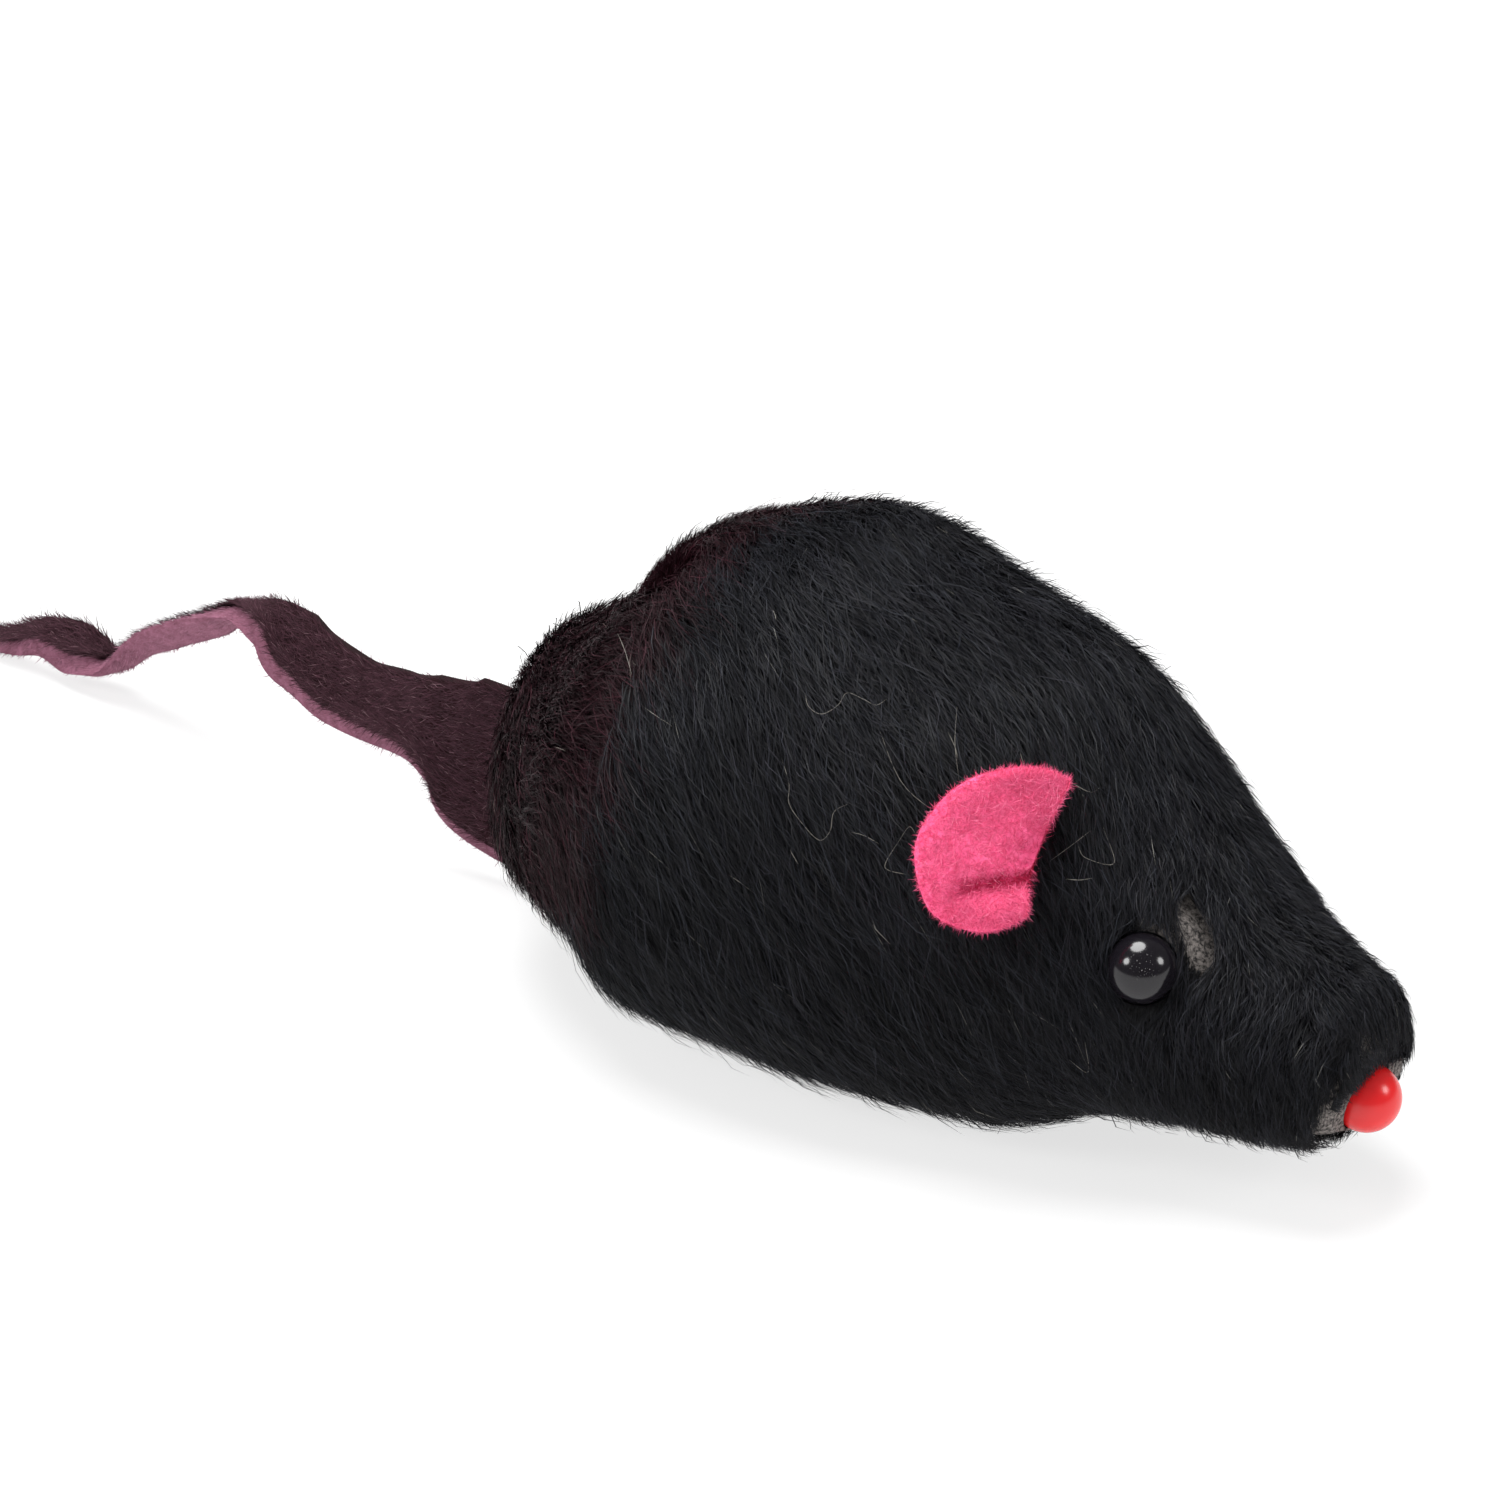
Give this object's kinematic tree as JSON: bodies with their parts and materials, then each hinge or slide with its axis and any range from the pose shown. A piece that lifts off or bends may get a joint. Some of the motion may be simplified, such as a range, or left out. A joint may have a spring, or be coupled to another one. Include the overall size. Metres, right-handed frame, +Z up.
{
  "type": "catnip mouse",
  "caption": "Small fur-covered catnip mouse with bead eyes and nose, felt ears with a rolled lower edge, a twisted hide tail, and a catnip bag and rattle sealed in a hard former.",
  "frame": {"origin": "a point on the flat of the belly, on the body's middle plane and about half way along the body", "axes": "+X towards the nose, +Y towards the mouse's left, +Z up"},
  "size_m": [0.1136, 0.0346, 0.0315],
  "materials": {
    "former_plastic": "satin",
    "black_fur": "fur",
    "maroon_fur": "fur",
    "black_bead": "gloss",
    "red_bead": "gloss",
    "pink_felt": "felt",
    "tail_hide": "suede",
    "muslin": "woven",
    "rattle_plastic": "gloss",
    "rattle_steel": "polished"
  },
  "bodies": {
    "body": {"core_shell_left": "former_plastic", "core_shell_right": "former_plastic", "pelt_main": "black_fur", "pelt_rump": "maroon_fur", "eye_right": "black_bead", "eye_left": "black_bead", "nose_bead": "red_bead", "tail_tongue": "tail_hide", "catnip_pouch": "muslin", "rattle_drum": "rattle_plastic", "rattle_lid": "rattle_plastic"},
    "tail_root": {"tail_strip": "tail_hide"},
    "tail_end": {"tail_tip": "tail_hide"},
    "right_ear": {"ear_right": "pink_felt"},
    "left_ear": {"ear_left": "pink_felt"},
    "ball_1": {"rattle_ball_1": "rattle_steel"},
    "ball_2": {"rattle_ball_2": "rattle_steel"},
    "ball_3": {"rattle_ball_3": "rattle_steel"}
  },
  "joints": [
    {"name": "tail_swing", "type": "hinge", "parent": "body", "child": "tail_root", "pos_m": [-0.0325, -0.0009, 0.00738], "axis": [0, 0, 1], "range_deg": [-60, 60]},
    {"name": "tail_curl", "type": "hinge", "parent": "tail_root", "child": "tail_end", "pos_m": [-0.05553, 0.00148, 0.01064], "axis": [0.1533, 0.9164, 0.3697], "range_deg": [-10, 75]},
    {"name": "ear_right_fold", "type": "hinge", "parent": "body", "child": "right_ear", "pos_m": [0.01343, -0.00935, 0.02069], "axis": [0, 0.5908, 0.8068], "range_deg": [-6, 50]},
    {"name": "ear_left_fold", "type": "hinge", "parent": "body", "child": "left_ear", "pos_m": [0.01066, 0.01334, 0.01273], "axis": [0.7705, -0.2331, -0.5933], "range_deg": [-10, 55]},
    {"name": "ball_1_roll", "type": "slide", "parent": "body", "child": "ball_1", "axis": [1, 0, 0], "range_m": [-0.0024, 0.0024]},
    {"name": "ball_2_roll", "type": "slide", "parent": "body", "child": "ball_2", "axis": [1, 0, 0], "range_m": [-0.0024, 0.0024]},
    {"name": "ball_3_roll", "type": "slide", "parent": "body", "child": "ball_3", "axis": [1, 0, 0], "range_m": [-0.0024, 0.0024]}
  ]
}
